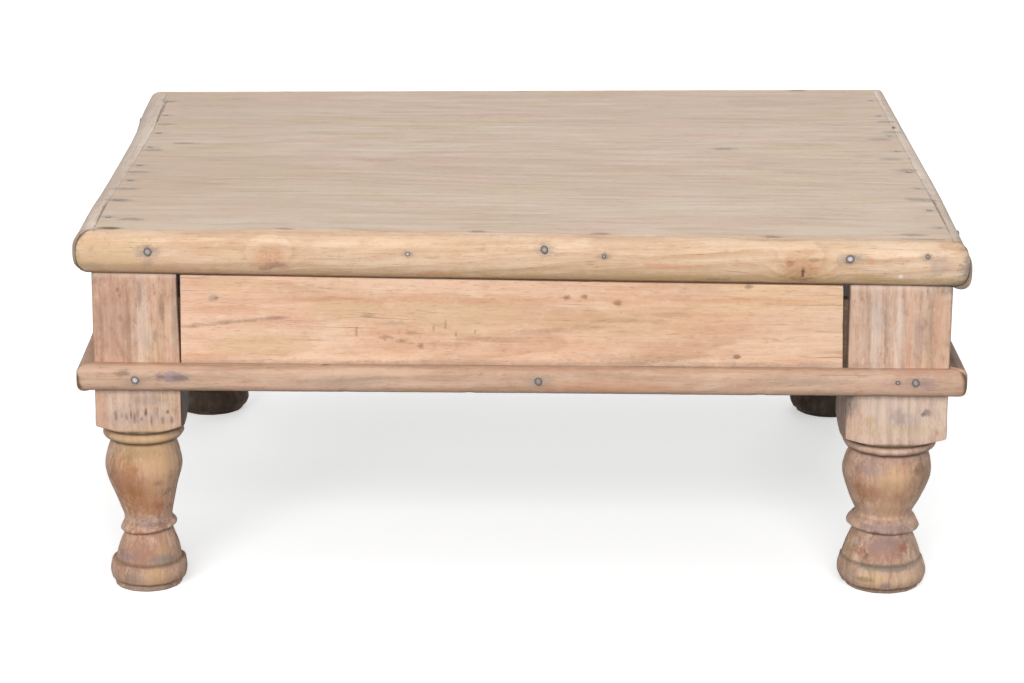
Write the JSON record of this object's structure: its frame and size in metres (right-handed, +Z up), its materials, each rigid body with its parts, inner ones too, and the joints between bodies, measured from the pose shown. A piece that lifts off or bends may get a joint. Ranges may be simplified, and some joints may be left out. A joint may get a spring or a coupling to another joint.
{
  "type": "low table",
  "caption": "Low rectangular floor table of bleached old wood: planked top with nailed bullnose edging, deep aprons, a rounded lower moulding and short turned legs.",
  "frame": {"origin": "on the floor, under the middle of the table", "axes": "+X along the table's length to the right, +Y to the back, +Z up"},
  "size_m": [0.604, 0.489, 0.2616],
  "materials": {
    "top_planks": "bleached, worn bare wood, grey-beige, matt",
    "top_edging": "bleached bare wood, pale honey, darker below",
    "aprons": "bleached bare wood, pale pinkish honey with cathedral grain",
    "legs": "bleached bare wood, reddish brown turned below, with dark grime in the grooves",
    "mouldings": "bleached bare wood, pinkish brown, with grey iron stains",
    "iron_nails": "hand-made iron nails, worn bright on the crown, dark round the rim"
  },
  "bodies": {
    "root": {"top_plank_1": "top_planks", "top_plank_2": "top_planks", "top_plank_3": "top_planks", "top_plank_4": "top_planks", "front_edging": "top_edging", "rear_edging": "top_edging", "left_edging": "top_edging", "right_edging": "top_edging", "front_apron": "aprons", "rear_apron": "aprons", "left_apron": "aprons", "right_apron": "aprons", "front_left_leg": "legs", "front_right_leg": "legs", "rear_left_leg": "legs", "rear_right_leg": "legs", "front_moulding": "mouldings", "rear_moulding": "mouldings", "left_moulding": "mouldings", "right_moulding": "mouldings", "front_edging_nails": "iron_nails", "front_edging_brads": "iron_nails", "rear_edging_nails": "iron_nails", "left_edging_nails": "iron_nails", "right_edging_nails": "iron_nails", "front_moulding_nails": "iron_nails", "front_moulding_brads": "iron_nails", "rear_moulding_nails": "iron_nails", "left_moulding_nails": "iron_nails", "right_moulding_nails": "iron_nails", "left_board_nails": "iron_nails", "right_board_nails": "iron_nails"}
  },
  "joints": []
}
